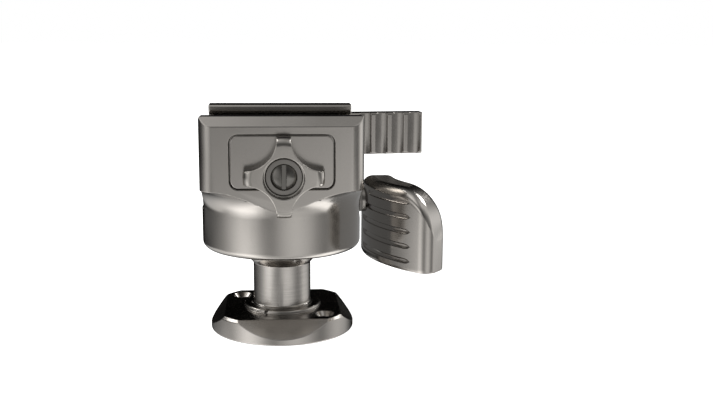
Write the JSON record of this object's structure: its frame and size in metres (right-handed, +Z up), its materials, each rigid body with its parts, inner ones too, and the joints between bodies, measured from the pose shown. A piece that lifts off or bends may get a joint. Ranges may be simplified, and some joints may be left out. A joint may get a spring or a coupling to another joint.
{
  "type": "tripod ball head",
  "caption": "Low tripod ball head with a round base flange, a ball lock lever and a lever-operated dovetail quick-release clamp with a star-shaped adjusting nut.",
  "frame": {"origin": "centre of the base flange's underside, at the mouth of the tripod thread", "axes": "+Z up along the stem, +Y from the star nut towards the rear jaw, +X towards the ball lock lever"},
  "size_m": [0.0888, 0.0856, 0.0828],
  "materials": {
    "satin_alloy": "fine bead-blasted, satin",
    "turned_steel": "turned and brushed",
    "seat_brass": "turned, slightly dull",
    "dark_screw_steel": "dark oiled steel"
  },
  "bodies": {
    "base": {"base_flange": "satin_alloy", "ball_stem": "satin_alloy", "thread_bush": "turned_steel", "stem_lock_screw": "dark_screw_steel"},
    "pan_seat": {"lower_seat_ring": "seat_brass"},
    "tilt_seat": {"upper_seat_ring": "seat_brass"},
    "housing": {"housing": "satin_alloy", "keeper_ring": "turned_steel", "spindle_bush": "turned_steel", "thrust_plate": "satin_alloy", "guide_pins": "turned_steel", "jaw_springs": "turned_steel"},
    "tie_rod": {"tie_rod": "turned_steel", "end_screw": "dark_screw_steel", "cam_pin": "turned_steel"},
    "star_nut": {"star_nut": "satin_alloy", "nut_insert": "turned_steel"},
    "rear_jaw": {"rear_jaw": "satin_alloy", "cam_plate": "turned_steel", "cam_plate_screws": "dark_screw_steel"},
    "quick_release_lever": {"quick_release_lever": "satin_alloy"},
    "brake_shoe": {"brake_shoe": "seat_brass"},
    "lock_lever": {"lock_lever": "satin_alloy", "lock_spindle": "turned_steel", "lever_screw": "dark_screw_steel"}
  },
  "joints": [
    {"name": "ball_pan", "type": "hinge", "parent": "base", "child": "pan_seat", "pos_m": [0, 0, 0.0355], "axis": [0, 0, 1], "continuous": true},
    {"name": "ball_tilt", "type": "hinge", "parent": "pan_seat", "child": "tilt_seat", "pos_m": [0, 0, 0.0355], "axis": [1, 0, 0], "range_deg": [-18, 18]},
    {"name": "ball_lean", "type": "hinge", "parent": "tilt_seat", "child": "housing", "pos_m": [0, 0, 0.0355], "axis": [0, 1, 0], "range_deg": [-18, 18]},
    {"name": "nut_turn", "type": "hinge", "parent": "housing", "child": "star_nut", "pos_m": [0.0005, -0.034, 0.0626], "axis": [0, -1, 0], "range_deg": [-252, 252]},
    {"name": "rod_draw", "type": "slide", "parent": "housing", "child": "tie_rod", "axis": [0, 1, 0], "range_m": [-0.0007, 0.0007]},
    {"name": "cam_turn", "type": "hinge", "parent": "tie_rod", "child": "quick_release_lever", "pos_m": [0.0005, 0.04005, 0.07], "axis": [0, 0, 1], "range_deg": [0, 100]},
    {"name": "jaw_slide", "type": "slide", "parent": "tie_rod", "child": "rear_jaw", "axis": [0, 1, 0], "range_m": [0, 0.003], "deforming": ["jaw_springs"]},
    {"name": "lock_turn", "type": "hinge", "parent": "brake_shoe", "child": "lock_lever", "pos_m": [0.03, 0, 0.0486], "axis": [1, 0, 0], "range_deg": [-60, 0]},
    {"name": "shoe_slide", "type": "slide", "parent": "housing", "child": "brake_shoe", "axis": [1, 0, 0], "range_m": [0, 0.0003]}
  ],
  "couplings": [
    {"joint": "nut_turn", "follows": "rod_draw", "rad_per_m": 6283.2},
    {"joint": "cam_turn", "follows": "jaw_slide", "rad_per_m": 581.78},
    {"joint": "lock_turn", "follows": "shoe_slide", "rad_per_m": -3490.7}
  ]
}
